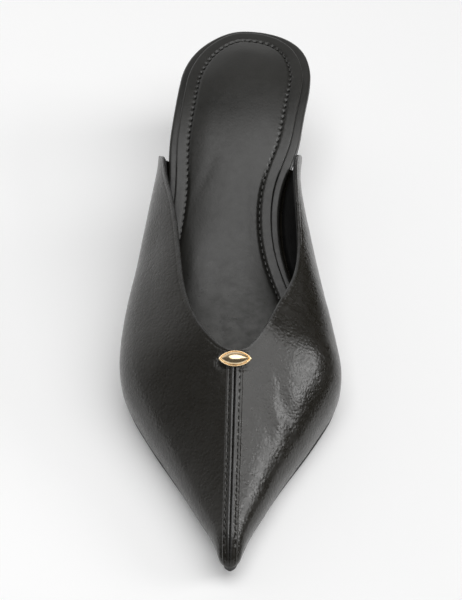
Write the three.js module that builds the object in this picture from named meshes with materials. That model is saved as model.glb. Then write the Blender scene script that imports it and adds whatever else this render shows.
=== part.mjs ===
// Pointed kitten-heel mule for the right foot, EU 38, standing on its heel tip and forefoot.
// +Z is up, the toe points along -Y, the outer (lateral) side of the foot is on -X.
// The origin is on the floor under the middle of the shoe's box.
import * as THREE from 'three';
import { mergeVertices } from 'three/addons/utils/BufferGeometryUtils.js';

// Driving dimensions, millimetres.
const LENGTH = 256.4;          // heel back to toe tip, level
const BALL_WIDTH = 86;         // widest, over the upper
const HEEL_HEIGHT = 41;        // floor to the underside of the insole, at the back
const INSTEP_HEIGHT = 44;      // floor to the throat of the upper
const WALL = 1.8;              // leather and lining
const SOLE = 2.8;              // outsole
const BOARD = 3.4;             // insole board with its wrap
const GAP = 0.3;               // between neighbouring pieces
const RAND = 3.0;              // strip of insole seen round the sock
const SOCK = 1.4;              // sock lining at its edge
const PAD = 2.2;               // what the padding adds in the middle of the sock
const TIP_HEIGHT = 5.5;        // rubber heel tip
const TIP_WIDTH = 12;
const TIP_DEPTH = 13;
const TIP_SHIFT = 1.4;         // the heel tip's middle, medial of the toe tip
const TIP_BACK = 8;            // how far the heel tip is set in from the back
const TIP_LIP = 0.6;           // how much wider the rubber is than the heel above it
const TRIM = { long: 12.6, wide: 6.4, high: 2.4, base: 0.8, behindThroat: 3.6 };

// Where things happen along the shoe, measured from the heel back.
const BREAST_AT = 50;          // front of the heel
const WING_LATERAL_AT = 63;    // back of the upper at the sole, on either side
const WING_MEDIAL_AT = 67;
const WING_LEAN = 10;          // how far the back edge of the upper leans forward
const THROAT_AT = 179.5;       // point of the V
const SOCK_END_AT = 238;
const BOARD_END_AT = 248;
const SEAM_LEAN = 1.1;         // the seam at the throat, medial of the toe tip
const WAIST_AT = 95;           // narrowest part of the sole
const BALL_AT = 150;
const WAIST_INSET = 2.4;       // how far the outsole stands in under the waist
const WELT = 0.3;              // out under the ball
const TOE_INSET = 0.8;         // and in again under the toe
const TOE_AT = 200;
const TOE_SET_BACK = 1.2;      // the outsole stops this far behind the toe tip
const UNDERCUT = 2.0;          // how far its edge slopes in to the tread
const TOE_OFFSET = 2.3;        // the toe tip, medial of the box's middle
const SEAT_ROUND = 27;         // radii of the round ends
const TOE_ROUND = 6;           // of the insole and the sock
const TIP_ROUND = 3.6;         // of the upper and the outsole
const NOSE_ROUND = 11;
const THROAT_ROUND = 40;

// The bottom of the last. at: share of LENGTH. under: underside of the insole, share of
// HEEL_HEIGHT. lateral, medial: half widths of the insole, shares of BALL_WIDTH.
const bottomRows = [
  { at: 0.000, under: 1.000, lateral: 0.233, medial: 0.372 },
  { at: 0.040, under: 0.988, lateral: 0.263, medial: 0.345 },
  { at: 0.080, under: 0.972, lateral: 0.279, medial: 0.325 },
  { at: 0.120, under: 0.948, lateral: 0.296, medial: 0.319 },
  { at: 0.175, under: 0.882, lateral: 0.317, medial: 0.295 },
  { at: 0.235, under: 0.770, lateral: 0.334, medial: 0.262 },
  { at: 0.290, under: 0.630, lateral: 0.335, medial: 0.205 },
  { at: 0.350, under: 0.480, lateral: 0.350, medial: 0.183 },
  { at: 0.410, under: 0.335, lateral: 0.380, medial: 0.206 },
  { at: 0.475, under: 0.211, lateral: 0.419, medial: 0.273 },
  { at: 0.545, under: 0.127, lateral: 0.457, medial: 0.351 },
  { at: 0.610, under: 0.084, lateral: 0.474, medial: 0.407 },
  { at: 0.665, under: 0.074, lateral: 0.456, medial: 0.418 },
  { at: 0.720, under: 0.074, lateral: 0.389, medial: 0.361 },
  { at: 0.780, under: 0.083, lateral: 0.297, medial: 0.272 },
  { at: 0.840, under: 0.103, lateral: 0.204, medial: 0.181 },
  { at: 0.900, under: 0.132, lateral: 0.118, medial: 0.104 },
  { at: 0.950, under: 0.161, lateral: 0.048, medial: 0.045 },
  { at: 1.000, under: 0.193, lateral: 0.004, medial: 0.004 },
];

// The walls of the last. flare: how far the wall stands out over the insole's line, and
// rise: how high its widest place is, in shares of BALL_WIDTH. crest: the top line of the
// last, share of INSTEP_HEIGHT. fullness: how upright each wall stays above its widest place.
const wallRows = [
  { at: 0.225, flareLateral: 0.014, flareMedial: 0.014, riseLateral: 0.140, riseMedial: 0.186,
    crest: 2.38, fullLateral: 0.28, fullMedial: 0.46 },
  { at: 0.290, flareLateral: 0.016, flareMedial: 0.058, riseLateral: 0.151, riseMedial: 0.233,
    crest: 2.18, fullLateral: 0.28, fullMedial: 0.45 },
  { at: 0.350, flareLateral: 0.028, flareMedial: 0.079, riseLateral: 0.163, riseMedial: 0.233,
    crest: 1.95, fullLateral: 0.28, fullMedial: 0.44 },
  { at: 0.410, flareLateral: 0.029, flareMedial: 0.088, riseLateral: 0.174, riseMedial: 0.221,
    crest: 1.75, fullLateral: 0.29, fullMedial: 0.43 },
  { at: 0.475, flareLateral: 0.023, flareMedial: 0.067, riseLateral: 0.174, riseMedial: 0.198,
    crest: 1.55, fullLateral: 0.31, fullMedial: 0.45 },
  { at: 0.545, flareLateral: 0.021, flareMedial: 0.041, riseLateral: 0.163, riseMedial: 0.174,
    crest: 1.36, fullLateral: 0.39, fullMedial: 0.48 },
  { at: 0.610, flareLateral: 0.021, flareMedial: 0.026, riseLateral: 0.145, riseMedial: 0.157,
    crest: 1.20, fullLateral: 0.44, fullMedial: 0.46 },
  { at: 0.665, flareLateral: 0.023, flareMedial: 0.026, riseLateral: 0.128, riseMedial: 0.140,
    crest: 1.08, fullLateral: 0.48, fullMedial: 0.49 },
  { at: 0.720, flareLateral: 0.023, flareMedial: 0.024, riseLateral: 0.105, riseMedial: 0.113,
    crest: 0.94, fullLateral: 0.50, fullMedial: 0.50 },
  { at: 0.800, flareLateral: 0.016, flareMedial: 0.018, riseLateral: 0.077, riseMedial: 0.084,
    crest: 0.75, fullLateral: 0.50, fullMedial: 0.50 },
  { at: 0.880, flareLateral: 0.012, flareMedial: 0.014, riseLateral: 0.056, riseMedial: 0.062,
    crest: 0.575, fullLateral: 0.50, fullMedial: 0.50 },
  { at: 1.000, flareLateral: 0.007, flareMedial: 0.007, riseLateral: 0.041, riseMedial: 0.041,
    crest: 0.355, fullLateral: 0.50, fullMedial: 0.50 },
];

// The open throat. lateral, medial: share of the section, from the crest down, that is cut
// away on each side, before the round end of the V is taken off.
const throatRows = [
  { at: 0.235, lateral: 0.680, medial: 0.740 },
  { at: 0.330, lateral: 0.540, medial: 0.615 },
  { at: 0.400, lateral: 0.415, medial: 0.515 },
  { at: 0.470, lateral: 0.335, medial: 0.440 },
  { at: 0.540, lateral: 0.281, medial: 0.355 },
  { at: 0.600, lateral: 0.246, medial: 0.258 },
  { at: 0.650, lateral: 0.226, medial: 0.217 },
  { at: 0.700, lateral: 0.195, medial: 0.212 },
];

const LATERAL = -1;
const MEDIAL = 1;
const wingAt = { [LATERAL]: WING_LATERAL_AT, [MEDIAL]: WING_MEDIAL_AT };
const clamp = THREE.MathUtils.clamp;
const lerp = THREE.MathUtils.lerp;

// Natural cubic spline through a column of a table.
function curveThrough(rows, column, scale) {
  const x = rows.map((row) => row.at * LENGTH);
  const y = rows.map((row) => row[column] * scale);
  const last = x.length - 1;
  const bend = new Array(x.length).fill(0);
  const share = new Array(x.length).fill(0);
  for (let i = 1; i < last; i += 1) {
    const before = x[i] - x[i - 1];
    const after = x[i + 1] - x[i];
    const pivot = 2 * (before + after) - before * share[i - 1];
    const turn = 6 * ((y[i + 1] - y[i]) / after - (y[i] - y[i - 1]) / before);
    share[i] = after / pivot;
    bend[i] = (turn - before * bend[i - 1]) / pivot;
  }
  for (let i = last - 1; i > 0; i -= 1) bend[i] -= share[i] * bend[i + 1];
  return (at) => {
    const t = clamp(at, x[0], x[last]);
    let i = 0;
    while (i < last - 1 && x[i + 1] < t) i += 1;
    const span = x[i + 1] - x[i];
    const a = (x[i + 1] - t) / span;
    const b = 1 - a;
    const sag = ((a ** 3 - a) * bend[i] + (b ** 3 - b) * bend[i + 1]) * span * span / 6;
    return a * y[i] + b * y[i + 1] + sag;
  };
}

const boardUnder = curveThrough(bottomRows, 'under', HEEL_HEIGHT);
const boardHalf = {
  [LATERAL]: curveThrough(bottomRows, 'lateral', BALL_WIDTH),
  [MEDIAL]: curveThrough(bottomRows, 'medial', BALL_WIDTH),
};
const flare = {
  [LATERAL]: curveThrough(wallRows, 'flareLateral', BALL_WIDTH),
  [MEDIAL]: curveThrough(wallRows, 'flareMedial', BALL_WIDTH),
};
const rise = {
  [LATERAL]: curveThrough(wallRows, 'riseLateral', BALL_WIDTH),
  [MEDIAL]: curveThrough(wallRows, 'riseMedial', BALL_WIDTH),
};
const fullness = {
  [LATERAL]: curveThrough(wallRows, 'fullLateral', 1),
  [MEDIAL]: curveThrough(wallRows, 'fullMedial', 1),
};
const crest = curveThrough(wallRows, 'crest', INSTEP_HEIGHT);
const throatCut = {
  [LATERAL]: curveThrough(throatRows, 'lateral', 1),
  [MEDIAL]: curveThrough(throatRows, 'medial', 1),
};

// Share of full size at a distance from a round end.
const roundEnd = (distance, radius) => Math.sqrt(1 - (1 - clamp(distance / radius, 0, 1)) ** 2);
const seamX = (t) => SEAM_LEAN * Math.min(1, (LENGTH - t) / (LENGTH - THROAT_AT));
const point = (x, t, z) => new THREE.Vector3(x + TOE_OFFSET, LENGTH / 2 - t, z);
const bezier = (a, b, c, d, q) => {
  const p = 1 - q;
  return p ** 3 * a + 3 * p * p * q * b + 3 * p * q * q * c + q ** 3 * d;
};

// Where the outside of the upper meets the sole: the insole's line, a gap and the wall.
function footHalf(side, t) {
  const taper = boardHalf[side](t + 0.5) - boardHalf[side](t - 0.5);
  const wall = (WALL + GAP) * Math.hypot(1, taper) + 0.1;
  return (boardHalf[side](t) + wall) * roundEnd(LENGTH - t, TIP_ROUND);
}

// One point of the last's section at t. w runs from the sole (0) over the widest place
// (WIDEST) to the crest (1), along two cubic curves.
const WIDEST = 0.24;
const crestSlope = curveThrough([
  { at: 0.22, slope: 50 }, { at: 0.39, slope: 45 }, { at: 0.55, slope: 32 },
  { at: 0.70, slope: 13 }, { at: 0.78, slope: 20 }, { at: 0.88, slope: 26 },
  { at: 1.00, slope: 28 },
], 'slope', Math.PI / 180);

function sectionPoint(side, t, w) {
  const bottom = boardUnder(t);
  const nose = roundEnd(LENGTH - t, NOSE_ROUND);
  const foot = footHalf(side, t);
  const wide = foot + flare[side](t) * roundEnd(LENGTH - t, TIP_ROUND);
  const lift = rise[side](t) * nose;
  if (w < WIDEST) {
    const q = w / WIDEST;
    const x = bezier(foot, lerp(foot, wide, 0.75), wide, wide, q);
    return point(side * x, t, bottom + bezier(0, 0.22 * lift, 0.62 * lift, lift, q));
  }
  const q = (w - WIDEST) / (1 - WIDEST);
  const top = (crest(t) - bottom) * nose;
  const middle = side * seamX(t);
  const reach = 0.37 * Math.hypot(top - lift, wide - middle);
  const slope = crestSlope(t);
  const x = bezier(wide, wide, middle + reach * Math.cos(slope), middle, q);
  const upright = lift + fullness[side](t) * (top - lift);
  return point(side * x, t, bottom + bezier(lift, upright, top - reach * Math.sin(slope), top, q));
}

// How far up its section the upper goes: to the crest in front of the throat, and behind it
// to the top line.
const topShare = (side, t) => 1 - throatCut[side](t) * roundEnd(THROAT_AT - t, THROAT_ROUND);

// A closed body gathered from quads. Corners that coincide are joined and empty faces dropped.
class Skin {
  constructor() {
    this.corners = [];
  }

  quad(a, b, c, d) {
    this.corners.push(a, b, c, a, c, d);
  }

  // Quads between the rows of a grid. turned swaps which side faces out.
  sheet(rows, turned) {
    for (let i = 0; i + 1 < rows.length; i += 1) {
      for (let j = 0; j + 1 < rows[i].length; j += 1) {
        const ring = [rows[i][j], rows[i][j + 1], rows[i + 1][j + 1], rows[i + 1][j]];
        if (turned) ring.reverse();
        this.quad(...ring);
      }
    }
  }

  geometry() {
    const loose = new THREE.BufferGeometry().setFromPoints(this.corners);
    const joined = mergeVertices(loose, 1e-3);
    const index = joined.getIndex().array;
    const kept = [];
    for (let i = 0; i < index.length; i += 3) {
      const [a, b, c] = index.slice(i, i + 3);
      if (a !== b && b !== c && c !== a) kept.push(a, b, c);
    }
    joined.setIndex(kept);
    joined.computeVertexNormals();
    return joined;
  }
}

// Stations from one place to another, closer together at both ends.
const stations = (from, to, count) => Array.from(
  { length: count + 1 },
  (_, i) => lerp(from, to, (1 - Math.cos(Math.PI * i / count)) / 2),
);

// A plate that follows the last. half(side, t) is its width, low and high are its faces, and
// lowHalf is the width of the low face where that is narrower.
function plate({ from, to, rows, columns, half, lowHalf = half, low, high }) {
  const face = (width, height) => stations(from, to, rows).map((t) => {
    const row = [];
    for (let j = 0; j <= columns; j += 1) {
      const across = -Math.cos(Math.PI * j / columns);
      const side = across < 0 ? LATERAL : MEDIAL;
      row.push(point(across * width(side, t), t, height(t, across)));
    }
    return row;
  });
  const top = face(half, high);
  const bottom = face(lowHalf, low);
  const skin = new Skin();
  skin.sheet(top, true);
  skin.sheet(bottom, false);
  const edge = (pick) => [top.map(pick), bottom.map(pick)];
  skin.sheet(edge((row) => row[0]), true);
  skin.sheet(edge((row) => row[columns]), false);
  skin.sheet([top[0], bottom[0]], false);
  skin.sheet([top[rows], bottom[rows]], true);
  return skin.geometry();
}

// Outsole: from the heel breast to the toe, flat on the floor under the ball. Its edge slopes in
// to a narrower tread, which comes to a point with the toe.
function outsoleGeometry() {
  const top = (t) => boardUnder(t) - GAP;
  const to = LENGTH - TOE_SET_BACK;
  const half = (side, t) => {
    const out = lerp(-WAIST_INSET, WELT, clamp((t - WAIST_AT) / (BALL_AT - WAIST_AT), 0, 1));
    const back = (WELT + TOE_INSET) * clamp((t - TOE_AT) / (LENGTH - TOE_AT), 0, 1);
    return (footHalf(side, t) + out - back) * roundEnd(to - t, TIP_ROUND / 2);
  };
  return plate({
    from: BREAST_AT + 1,
    to,
    rows: 40,
    columns: 8,
    half,
    lowHalf: (side, t) => half(side, t) ** 2 / (half(side, t) + UNDERCUT),
    low: (t) => Math.max(0, top(t) - SOLE),
    high: top,
  });
}

const seatHalf = (side, t, inset) => (boardHalf[side](t) - inset) * roundEnd(t - inset, SEAT_ROUND);

function insoleGeometry() {
  return plate({
    from: 0,
    to: BOARD_END_AT,
    rows: 40,
    columns: 8,
    half: (side, t) => seatHalf(side, t, 0) * roundEnd(BOARD_END_AT - t, TOE_ROUND),
    low: boardUnder,
    high: (t) => boardUnder(t) + BOARD,
  });
}

function sockGeometry() {
  const lay = (t) => boardUnder(t) + BOARD + GAP;
  return plate({
    from: RAND,
    to: SOCK_END_AT,
    rows: 36,
    columns: 10,
    half: (side, t) => seatHalf(side, t, RAND) * roundEnd(SOCK_END_AT - t, TOE_ROUND),
    low: lay,
    high: (t, across) => lay(t) + SOCK + PAD * (1 - across ** 4)
      * roundEnd(t - RAND, SEAT_ROUND / 2) * roundEnd(SOCK_END_AT - t, SEAT_ROUND),
  });
}

// Upper: one hollow wall. Rows run from the back edge of the wings to the toe tip, and each
// side's columns from the sole to the top line or the seam. A place on it is { t, w }.
const BACK_ROWS = 28;
const FRONT_ROWS = 18;
const WALL_COLUMNS = 13;
const LEAN_FADE = 90;          // where the rows stand upright again
const CORNER = 13;             // length and depth of the round corner of a wing
const CORNER_DROP = 0.26;
const CORNER_CURL = 0.16;      // share of the lean that is taken up at the corner

function upperPlaces(side) {
  const backEdge = wingAt[side];
  const open = THROAT_AT - backEdge;
  const backTo = (i) => THROAT_AT - open * (1 - (i / BACK_ROWS) ** 1.5) ** 2;
  const frontTo = (i) => lerp(THROAT_AT, LENGTH, Math.sin(Math.PI / 2 * i / FRONT_ROWS));
  const rows = [];
  for (let i = 0; i <= BACK_ROWS + FRONT_ROWS; i += 1) {
    const t = i <= BACK_ROWS ? backTo(i) : frontTo(i - BACK_ROWS);
    const lean = WING_LEAN * (1 - clamp((t - backEdge) / LEAN_FADE, 0, 1)) ** 2;
    const corner = 1 - clamp((t - backEdge) / CORNER, 0, 1);
    const top = topShare(side, t + lean) * (1 - CORNER_DROP * corner * corner);
    const row = [];
    for (let j = 0; j <= WALL_COLUMNS; j += 1) {
      const v = j / WALL_COLUMNS;
      row.push({ t: t + lean * lerp(v, v ** 6, CORNER_CURL), w: v * top });
    }
    rows.push(row);
  }
  return rows;
}

// Direction out of the wall, square to steps along the shoe and up the section.
function outward(side, { t, w }) {
  const step = Math.min(0.2, (LENGTH - t) / 4);
  const climb = 0.01;
  const along = sectionPoint(side, t + step, w).sub(sectionPoint(side, t - step, w));
  const up = sectionPoint(side, t, Math.min(w + climb, 1));
  up.sub(sectionPoint(side, t, Math.max(w - climb, 0)));
  return up.cross(along).multiplyScalar(side).normalize();
}

// The lining's surface behind a place. On the seam both sides share one point, and at the sole
// the wall keeps a level edge.
function lining(side, { t, w }) {
  const place = sectionPoint(side, t, w);
  if (t > LENGTH - 1e-6) return place.add(new THREE.Vector3(0, 1.2 * WALL, 0));
  const out = outward(side, { t, w });
  let depth = WALL;
  if (w === 1) {
    const mean = out.clone().add(outward(-side, { t, w })).normalize();
    depth = WALL / Math.max(0.7, mean.dot(out));
    out.copy(mean);
  }
  if (w === 0) out.setZ(0).normalize();
  place.addScaledVector(out, -depth);
  if (w === 0) place.z = boardUnder(LENGTH / 2 - place.y);
  return place;
}

function upperGeometry() {
  const skin = new Skin();
  for (const side of [LATERAL, MEDIAL]) {
    const places = upperPlaces(side);
    const outer = places.map((row) => row.map(({ t, w }) => sectionPoint(side, t, w)));
    const inner = places.map((row) => row.map((place) => lining(side, place)));
    const turned = side === LATERAL;
    const strip = (column, end) => [outer, inner].map(
      (wall) => wall.slice(0, end).map((row) => row[column]),
    );
    skin.sheet(outer, turned);
    skin.sheet(inner, !turned);
    skin.sheet(strip(0), turned);
    skin.sheet(strip(WALL_COLUMNS, BACK_ROWS + 1), !turned);
    skin.sheet([outer[0], inner[0]], !turned);
  }
  return skin.geometry();
}

// Heel: the seat's outline drawn in to a small D, along a hollow curve at the back.
const D_POINTS = 28;
const COVER_INSET = 0.4;       // the heel stands in a little from the insole's edge
const HEEL_RINGS = 12;

function seatOutline() {
  const arc = stations(2 * COVER_INSET, BREAST_AT, D_POINTS / 2);
  const corner = (side) => (t) => new THREE.Vector2(side * seatHalf(side, t, COVER_INSET), t);
  const lateral = arc.map(corner(LATERAL)).reverse();
  const medial = arc.map(corner(MEDIAL));
  return lateral.concat(medial);
}

// share runs from the seat (0) to the tip (1) and sets how far the outline is drawn in.
function heelBodyGeometry(fromShare, toShare, topOf, bottomZ, grow) {
  const outline = seatOutline();
  const middle = TIP_SHIFT;
  const seatWidth = seatHalf(LATERAL, SEAT_ROUND, 0) + seatHalf(MEDIAL, SEAT_ROUND, 0);
  const width = (TIP_WIDTH + grow) / seatWidth;
  const depth = (TIP_DEPTH + grow) / BREAST_AT;
  const rings = [];
  for (let k = 0; k <= HEEL_RINGS; k += 1) {
    const q = k / HEEL_RINGS;
    const share = lerp(fromShare, toShare, q);
    const narrow = (1 - share) ** 2.6;
    const setBack = TIP_BACK * (1 - (1 - share) ** 1.5) - grow / 2;
    rings.push(outline.map(({ x, y: t }) => point(
      middle + (x - middle) * lerp(width, 1, narrow),
      setBack + t * lerp(depth, 1, narrow),
      lerp(topOf(t), bottomZ, q),
    )));
  }
  const skin = new Skin();
  const closed = rings.map((ring) => [...ring, ring[0]]);
  skin.sheet(closed, false);
  const cap = (ring, turned) => {
    const flip = [...ring].reverse();
    const half = ring.length / 2;
    skin.sheet([ring.slice(0, half), flip.slice(0, half)], turned);
  };
  cap(rings[0], true);
  cap(rings[HEEL_RINGS], false);
  return skin.geometry();
}

const heelGeometry = () => heelBodyGeometry(0, 1, (t) => boardUnder(t) - GAP, TIP_HEIGHT + GAP, 0);
const topPieceGeometry = () => heelBodyGeometry(1, 1, () => TIP_HEIGHT, 0, TIP_LIP);

// Trim: a pointed oval with a flat base and a domed face, lying across the seam.
const TRIM_ROWS = 20;
const TRIM_COLUMNS = 8;
const TRIM_POINT = 0.75;       // 0.5 would be an ellipse, 1 a lens with straight points

function trimGeometry() {
  const grid = (height) => Array.from({ length: TRIM_ROWS + 1 }, (_, i) => {
    const s = -Math.cos(Math.PI * i / TRIM_ROWS);
    const half = TRIM.wide / 2 * (1 - s * s) ** TRIM_POINT;
    return Array.from({ length: TRIM_COLUMNS + 1 }, (__, j) => {
      const r = -Math.cos(Math.PI * j / TRIM_COLUMNS);
      return new THREE.Vector3(TRIM.long / 2 * s, half * r, height(s, r));
    });
  });
  const round = (q) => Math.sqrt(1 - q * q);
  const face = grid((s, r) => round(s) * lerp(TRIM.base, TRIM.high, round(r)));
  const base = grid(() => 0);
  const skin = new Skin();
  skin.sheet(face, true);
  skin.sheet(base, false);
  const edge = (column) => [face.map((row) => row[column]), base.map((row) => row[column])];
  skin.sheet(edge(0), true);
  skin.sheet(edge(TRIM_COLUMNS), false);
  return skin.geometry();
}

function finish(color, roughness, metalness) {
  return new THREE.MeshStandardMaterial({ color, roughness, metalness });
}

const leather = finish(0x1c1b1a, 0.38, 0);
const wrap = finish(0x262524, 0.5, 0);
const padding = finish(0x2b2a29, 0.55, 0);
const soleRubber = finish(0x151515, 0.7, 0);
const gold = finish(0xc9a46a, 0.25, 1);

const group = new THREE.Group();

function add(name, geometry, material) {
  const mesh = new THREE.Mesh(geometry, material);
  mesh.name = name;
  group.add(mesh);
  return mesh;
}

add('outsole', outsoleGeometry(), soleRubber);
add('insole', insoleGeometry(), wrap);
add('sock', sockGeometry(), padding);
add('upper', upperGeometry(), leather);
add('heel', heelGeometry(), leather);
add('top_piece', topPieceGeometry(), soleRubber);

const trim = add('trim', trimGeometry(), gold);
const trimAt = THROAT_AT + TRIM.behindThroat;
const fall = (crest(trimAt + 2) - crest(trimAt - 2)) / 4;
trim.position.copy(point(seamX(trimAt), trimAt, crest(trimAt) + GAP));
trim.rotation.x = Math.atan(-fall);

export default group;
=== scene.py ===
"""Pointed kitten-heel mule for the right foot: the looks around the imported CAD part.

Shapes are worked out in millimetres on grids and go into the meshes in metres. A place along the
shoe is t, counted from the back of the heel. side is LATERAL or MEDIAL, and w runs up a section of
the last, from the sole (0) to the crest (1).
"""

import bmesh
import bpy
import numpy as np
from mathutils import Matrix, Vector


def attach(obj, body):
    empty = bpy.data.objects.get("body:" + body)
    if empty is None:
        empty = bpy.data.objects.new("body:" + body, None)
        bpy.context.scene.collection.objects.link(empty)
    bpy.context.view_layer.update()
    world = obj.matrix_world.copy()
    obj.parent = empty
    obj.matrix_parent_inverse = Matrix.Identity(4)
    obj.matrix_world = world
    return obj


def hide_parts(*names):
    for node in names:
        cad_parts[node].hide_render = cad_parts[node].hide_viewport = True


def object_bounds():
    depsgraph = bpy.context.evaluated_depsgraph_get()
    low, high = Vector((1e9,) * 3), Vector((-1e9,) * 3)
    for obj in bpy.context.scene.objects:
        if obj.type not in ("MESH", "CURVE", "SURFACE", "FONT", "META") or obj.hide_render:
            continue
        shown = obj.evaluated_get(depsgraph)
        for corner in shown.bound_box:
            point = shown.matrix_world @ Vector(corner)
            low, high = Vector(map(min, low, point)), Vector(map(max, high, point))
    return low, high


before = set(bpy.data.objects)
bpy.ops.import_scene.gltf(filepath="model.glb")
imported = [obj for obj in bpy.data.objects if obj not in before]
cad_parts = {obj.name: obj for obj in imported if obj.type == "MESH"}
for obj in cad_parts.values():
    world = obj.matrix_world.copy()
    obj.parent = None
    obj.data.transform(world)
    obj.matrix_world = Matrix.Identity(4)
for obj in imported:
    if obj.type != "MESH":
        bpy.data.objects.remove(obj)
CAD_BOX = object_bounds()
MM = 0.001
LATERAL = -1
MEDIAL = 1

# ---- The last, in the sizes of the CAD part
LENGTH = (CAD_BOX[1][1] - CAD_BOX[0][1]) / MM
BALL_WIDTH = 86.0
HEEL_HEIGHT = 41.0
INSTEP_HEIGHT = 44.0
TOE_OFFSET = 2.3       # of the toe line, to the inner side
WALL = 1.8
GAP = 0.3
SOLE = 2.8
BOARD = 3.4
RAND = 3.0             # border of insole that shows around the sock
SOCK = 1.4
PAD = 2.2
BREAST_AT = 50.0
WING_AT = {LATERAL: 63.0, MEDIAL: 67.0}
THROAT_AT = 179.5
SOCK_END_AT = 238.0
BOARD_END_AT = 248.0
SEAM_LEAN = 1.1
SEAT_ROUND = 27.0
TOE_ROUND = 6.0        # of the insole and the sock
TIP_ROUND = 3.6        # of the upper and the outsole
NOSE_ROUND = 11.0      # of the upper's tip, seen from the side
THROAT_ROUND = 40.0
TIP_SIZE = 14.0        # reliefs and insets shrink where less leather than this is left
WIDEST = 0.24          # w of the widest place of a section
WING_LEAN = 10.0       # of the wings' back edges, forward over their height
LEAN_FADE = 90.0
CORNER = 13.0          # round corner of a wing
CORNER_DROP = 0.26
CORNER_CURL = 0.16


def table(columns, figures):
    """Named columns of figures, one row of the text for each station."""
    names = columns.split()
    rows = np.array(figures.split(), float).reshape(-1, len(names))
    return dict(zip(names, rows.T))


# under: underside of the insole, in HEEL_HEIGHT. lateral, medial: its half widths, in BALL_WIDTH.
BOTTOM = table("at under lateral medial", """
    0.000 1.000 0.233 0.372
    0.040 0.988 0.263 0.345
    0.080 0.972 0.279 0.325
    0.120 0.948 0.296 0.319
    0.175 0.882 0.317 0.295
    0.235 0.770 0.334 0.262
    0.290 0.630 0.335 0.205
    0.350 0.480 0.350 0.183
    0.410 0.335 0.380 0.206
    0.475 0.211 0.419 0.273
    0.545 0.127 0.457 0.351
    0.610 0.084 0.474 0.407
    0.665 0.074 0.456 0.418
    0.720 0.074 0.389 0.361
    0.780 0.083 0.297 0.272
    0.840 0.103 0.204 0.181
    0.900 0.132 0.118 0.104
    0.950 0.161 0.048 0.045
    1.000 0.193 0.004 0.004
""")

# flare: how far a wall stands out over the foot line. rise: how high its widest place is, both in
# BALL_WIDTH. crest: the top line, in INSTEP_HEIGHT. full: how upright a wall is above its widest.
WALLS = table("at flareL flareM riseL riseM crest fullL fullM", """
    0.225 0.014 0.014 0.140 0.186 2.380 0.28 0.46
    0.290 0.016 0.058 0.151 0.233 2.180 0.28 0.45
    0.350 0.028 0.079 0.163 0.233 1.950 0.28 0.44
    0.410 0.029 0.088 0.174 0.221 1.750 0.29 0.43
    0.475 0.023 0.067 0.174 0.198 1.550 0.31 0.45
    0.545 0.021 0.041 0.163 0.174 1.360 0.39 0.48
    0.610 0.021 0.026 0.145 0.157 1.200 0.44 0.46
    0.665 0.023 0.026 0.128 0.140 1.080 0.48 0.49
    0.720 0.023 0.024 0.105 0.113 0.940 0.50 0.50
    0.800 0.016 0.018 0.077 0.084 0.750 0.50 0.50
    0.880 0.012 0.014 0.056 0.062 0.575 0.50 0.50
    1.000 0.007 0.007 0.041 0.041 0.355 0.50 0.50
""")

# How steeply the section meets the crest, in degrees.
CREST = table("at slope", """
    0.22 50   0.39 45   0.55 32   0.70 13   0.78 20   0.88 26   1.00 28
""")

# Share of the section, from the crest down, that the open throat takes off each side.
THROAT = table("at lateral medial", """
    0.235 0.680 0.740
    0.330 0.540 0.615
    0.400 0.415 0.515
    0.470 0.335 0.440
    0.540 0.281 0.355
    0.600 0.246 0.258
    0.650 0.226 0.217
    0.700 0.195 0.212
""")


def curve(rows, column, scale=1.0):
    """Natural cubic spline through one column, as a function of t: the bends at the stations
    solve the usual three-term system, with none at either end."""
    x = rows["at"] * LENGTH
    y = rows[column] * scale
    gap = np.diff(x)
    system = np.eye(len(x))
    load = np.zeros(len(x))
    inner = np.arange(1, len(x) - 1)
    system[inner, inner - 1] = gap[:-1]
    system[inner, inner] = 2 * (gap[:-1] + gap[1:])
    system[inner, inner + 1] = gap[1:]
    load[inner] = 6 * np.diff(np.diff(y) / gap)
    bend = np.linalg.solve(system, load)

    def at(t):
        t = np.clip(t, x[0], x[-1])
        i = np.clip(np.searchsorted(x, t) - 1, 0, len(gap) - 1)
        a = (x[i + 1] - t) / gap[i]
        b = 1 - a
        sag = ((a**3 - a) * bend[i] + (b**3 - b) * bend[i + 1]) * gap[i] ** 2 / 6
        return a * y[i] + b * y[i + 1] + sag

    return at


board_under = curve(BOTTOM, "under", HEEL_HEIGHT)
board_half = {
    LATERAL: curve(BOTTOM, "lateral", BALL_WIDTH),
    MEDIAL: curve(BOTTOM, "medial", BALL_WIDTH),
}
flare = {LATERAL: curve(WALLS, "flareL", BALL_WIDTH), MEDIAL: curve(WALLS, "flareM", BALL_WIDTH)}
rise = {LATERAL: curve(WALLS, "riseL", BALL_WIDTH), MEDIAL: curve(WALLS, "riseM", BALL_WIDTH)}
full = {LATERAL: curve(WALLS, "fullL"), MEDIAL: curve(WALLS, "fullM")}
crest = curve(WALLS, "crest", INSTEP_HEIGHT)
crest_slope = curve(CREST, "slope", np.pi / 180)
throat_cut = {LATERAL: curve(THROAT, "lateral"), MEDIAL: curve(THROAT, "medial")}


def round_end(distance, radius):
    """Height of a quarter circle of unit size, from 0 at its end to 1 at the radius."""
    return np.sqrt(1 - (1 - np.clip(distance / radius, 0, 1)) ** 2)


def ease(value, low, high):
    """0 below low, 1 above high, and the smooth cubic 3q^2 - 2q^3 between them."""
    q = np.clip((value - low) / (high - low), 0, 1)
    return q * q * (3 - 2 * q)


def bell(value, middle, width):
    """Gaussian hump of height 1."""
    return np.exp(-(((value - middle) / width) ** 2))


def mix(a, b, q):
    """The straight way from a (q = 0) to b (q = 1)."""
    return a + (b - a) * q


def bezier(a, b, c, d, q):
    """Cubic Bezier value for the four handles."""
    p = 1 - q
    return p**3 * a + 3 * p * p * q * b + 3 * p * q * q * c + q**3 * d


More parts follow.
